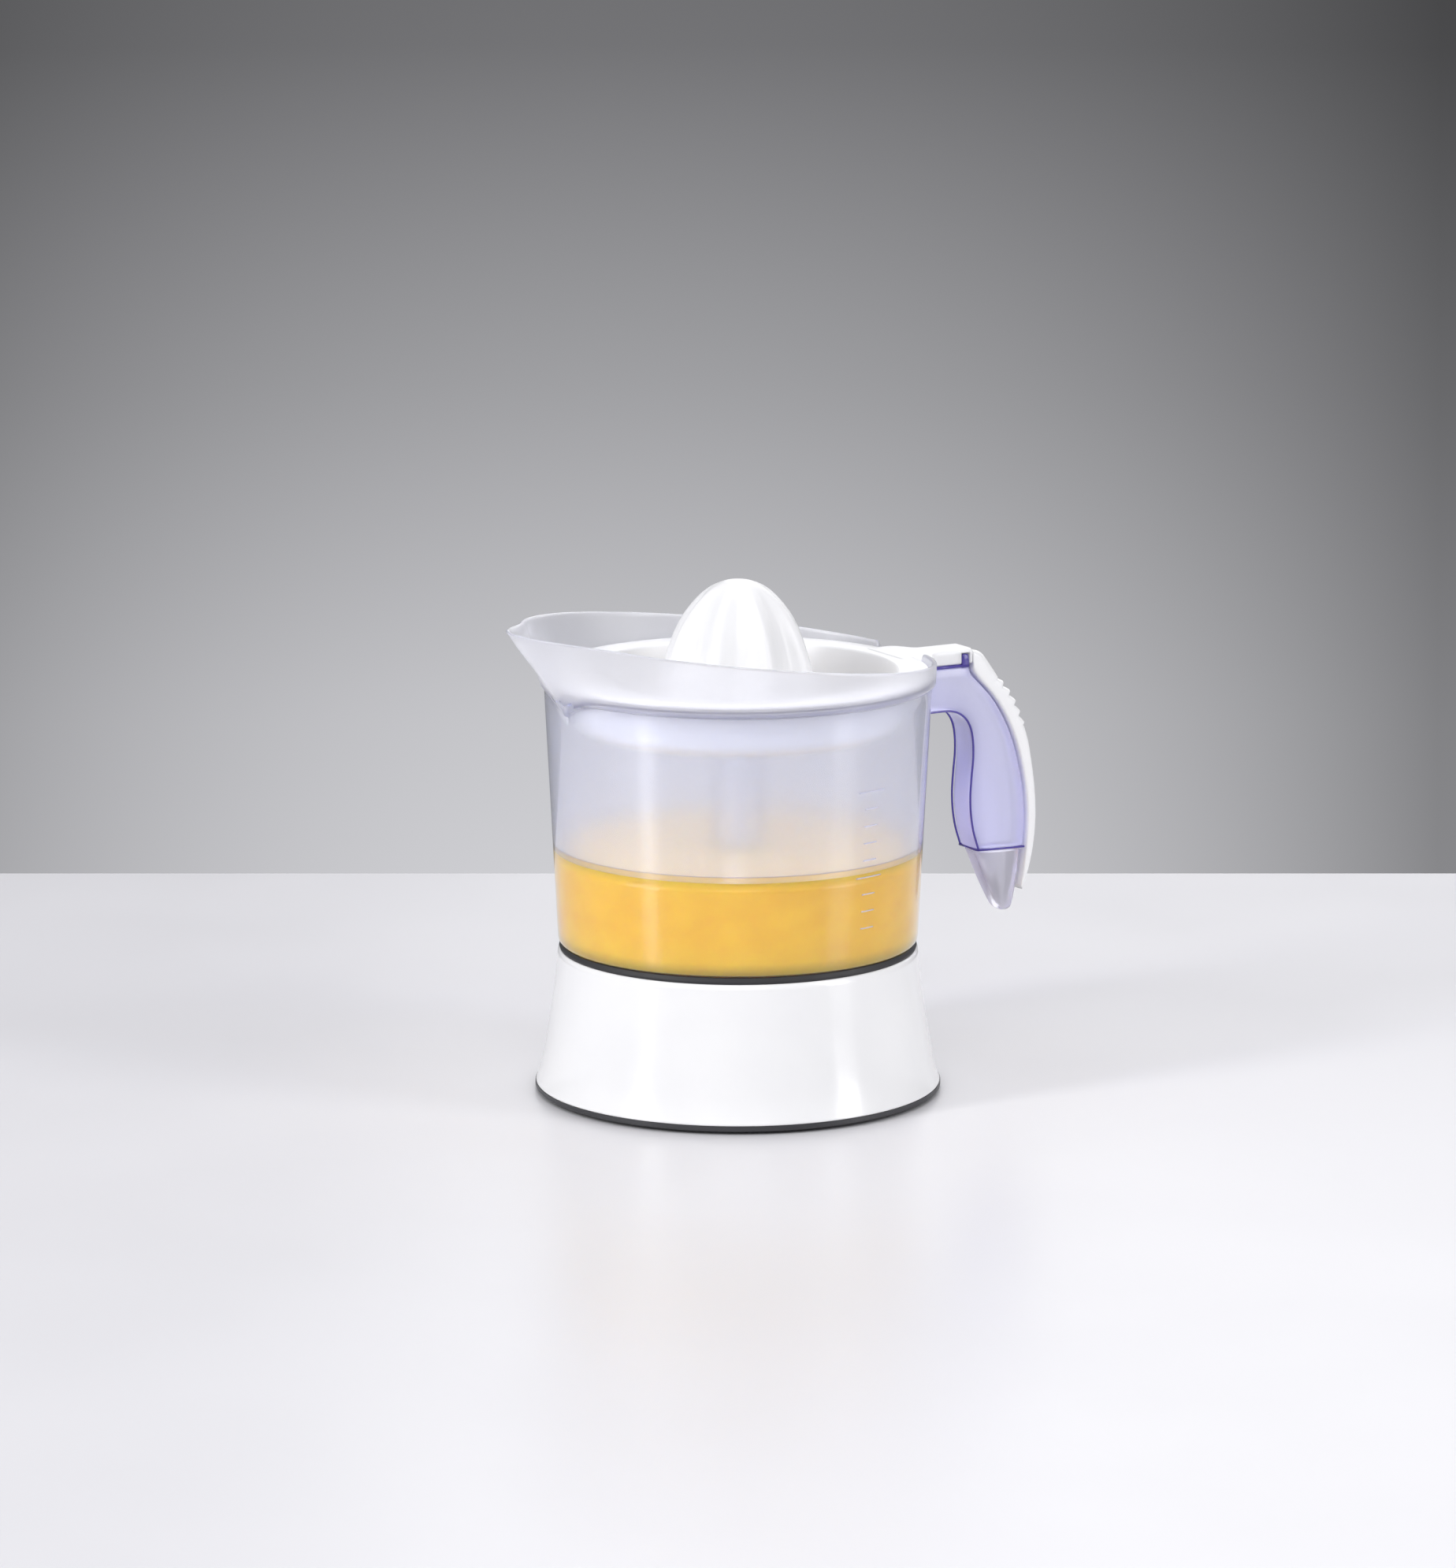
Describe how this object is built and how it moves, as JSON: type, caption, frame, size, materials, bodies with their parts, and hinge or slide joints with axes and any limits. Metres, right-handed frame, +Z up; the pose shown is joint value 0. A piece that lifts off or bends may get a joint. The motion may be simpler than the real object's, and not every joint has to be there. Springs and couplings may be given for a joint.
{
  "type": "citrus press juicer",
  "caption": "Electric citrus press: flared motor base, clear spouted jug with a slender handle and clip-on cover, lift-out strainer and ribbed reaming cone on a sprung hexagonal spindle.",
  "frame": {"origin": "on the spindle axis, at the level of the table that the foot ring stands on", "axes": "+Z up along the spindle, +X towards the handle, -X towards the spout, -Y the front"},
  "size_m": [0.2339, 0.1598, 0.2028],
  "materials": {
    "white_gloss": "gloss moulded plastic",
    "white_satin": "smooth moulded plastic",
    "jug_clear": "clear moulded plastic with a violet tint",
    "handle_violet": "translucent violet plastic",
    "tip_clear": "clear smoky plastic",
    "dark_rubber": "matt rubber",
    "dark_plastic": "fine texture",
    "chassis_plastic": "moulded, glass filled",
    "bobbin_plastic": "moulded",
    "gear_plastic": "natural acetal",
    "switch_red": "moulded",
    "screw_steel": "zinc plated",
    "spacer_steel": "zinc plated sheet",
    "lamination_steel": "stacked laminations",
    "ground_steel": "ground",
    "spring_steel": "drawn wire",
    "ferrite": "sintered",
    "bronze": "sintered",
    "copper_wire": "enamelled wire"
  },
  "bodies": {
    "base": {"base_housing": "white_gloss", "cord_grommet": "dark_rubber", "seat_ring": "dark_rubber", "bottom_cover": "dark_plastic", "foot_ring": "dark_rubber", "cover_screws": "screw_steel", "lower_plate": "chassis_plastic", "upper_plate": "chassis_plastic", "plate_posts": "spacer_steel", "plate_screws": "screw_steel", "lower_output_bush": "bronze", "upper_output_bush": "bronze", "stator_core": "lamination_steel", "left_bobbin": "bobbin_plastic", "right_bobbin": "bobbin_plastic", "left_winding": "copper_wire", "right_winding": "copper_wire", "motor_bracket": "spacer_steel", "rotor_bushes": "bronze", "stator_screws": "screw_steel", "first_gear_axle": "ground_steel", "spindle_seal": "dark_rubber", "lever_pin": "ground_steel", "switch_bracket": "spacer_steel", "microswitch": "dark_plastic"},
    "output_gear": {"output_gear": "gear_plastic", "return_spring": "spring_steel"},
    "spindle": {"spindle": "ground_steel", "spindle_clip": "spring_steel"},
    "rotor": {"rotor_magnet": "ferrite", "rotor_shaft": "ground_steel", "rotor_pinion": "gear_plastic"},
    "first_gear": {"first_gear": "gear_plastic"},
    "switch_lever": {"switch_lever": "chassis_plastic"},
    "switch_button": {"switch_button": "switch_red"},
    "jug": {"jug": "jug_clear", "handle_shell": "handle_violet", "handle_tip": "tip_clear", "handle_cover": "white_gloss"},
    "strainer": {"strainer": "white_satin"},
    "hub_bush": {"hub_bush": "gear_plastic"},
    "cone_driver": {"cone_driver": "gear_plastic"},
    "cone": {"cone": "white_satin"}
  },
  "joints": [
    {"name": "spindle_spin", "type": "hinge", "parent": "base", "child": "output_gear", "pos_m": [0, 0, 0.043], "axis": [0, 0, 1], "continuous": true},
    {"name": "spindle_press", "type": "slide", "parent": "output_gear", "child": "spindle", "axis": [0, 0, 1], "range_m": [-0.0025, 0], "stiffness_N_per_m": 600, "springref_m": 0.006, "deforming": ["return_spring"]},
    {"name": "first_gear_spin", "type": "hinge", "parent": "base", "child": "first_gear", "pos_m": [-0.01183, 0.03368, 0.04], "axis": [0, 0, 1], "continuous": true},
    {"name": "rotor_spin", "type": "hinge", "parent": "base", "child": "rotor", "pos_m": [-0.03, 0.022, 0.02], "axis": [0, 0, 1], "continuous": true},
    {"name": "lever_press", "type": "hinge", "parent": "base", "child": "switch_lever", "pos_m": [0.016, 0, 0.029], "axis": [0, 1, 0], "range_deg": [-10, 0]},
    {"name": "button_press", "type": "slide", "parent": "base", "child": "switch_button", "axis": [0, 0, 1], "range_m": [-0.0016, 0]},
    {"name": "jug_lift", "type": "slide", "parent": "base", "child": "jug", "axis": [0, 0, 1], "range_m": [0, 0.12]},
    {"name": "strainer_lift", "type": "slide", "parent": "jug", "child": "strainer", "axis": [0, 0, 1], "range_m": [0, 0.06]},
    {"name": "bush_spin", "type": "hinge", "parent": "strainer", "child": "hub_bush", "pos_m": [0, 0, 0.156], "axis": [0, 0, 1], "continuous": true},
    {"name": "driver_press", "type": "slide", "parent": "hub_bush", "child": "cone_driver", "axis": [0, 0, 1], "range_m": [-0.0025, 0]},
    {"name": "cone_lift", "type": "slide", "parent": "cone_driver", "child": "cone", "axis": [0, 0, 1], "range_m": [0, 0.05]}
  ],
  "couplings": [
    {"joint": "first_gear_spin", "follows": "spindle_spin", "ratio": -6},
    {"joint": "rotor_spin", "follows": "spindle_spin", "ratio": 30},
    {"joint": "bush_spin", "follows": "spindle_spin", "ratio": 1},
    {"joint": "driver_press", "follows": "spindle_press", "ratio": 1},
    {"joint": "lever_press", "follows": "spindle_press", "rad_per_m": 68},
    {"joint": "button_press", "follows": "spindle_press", "ratio": 0.6}
  ]
}
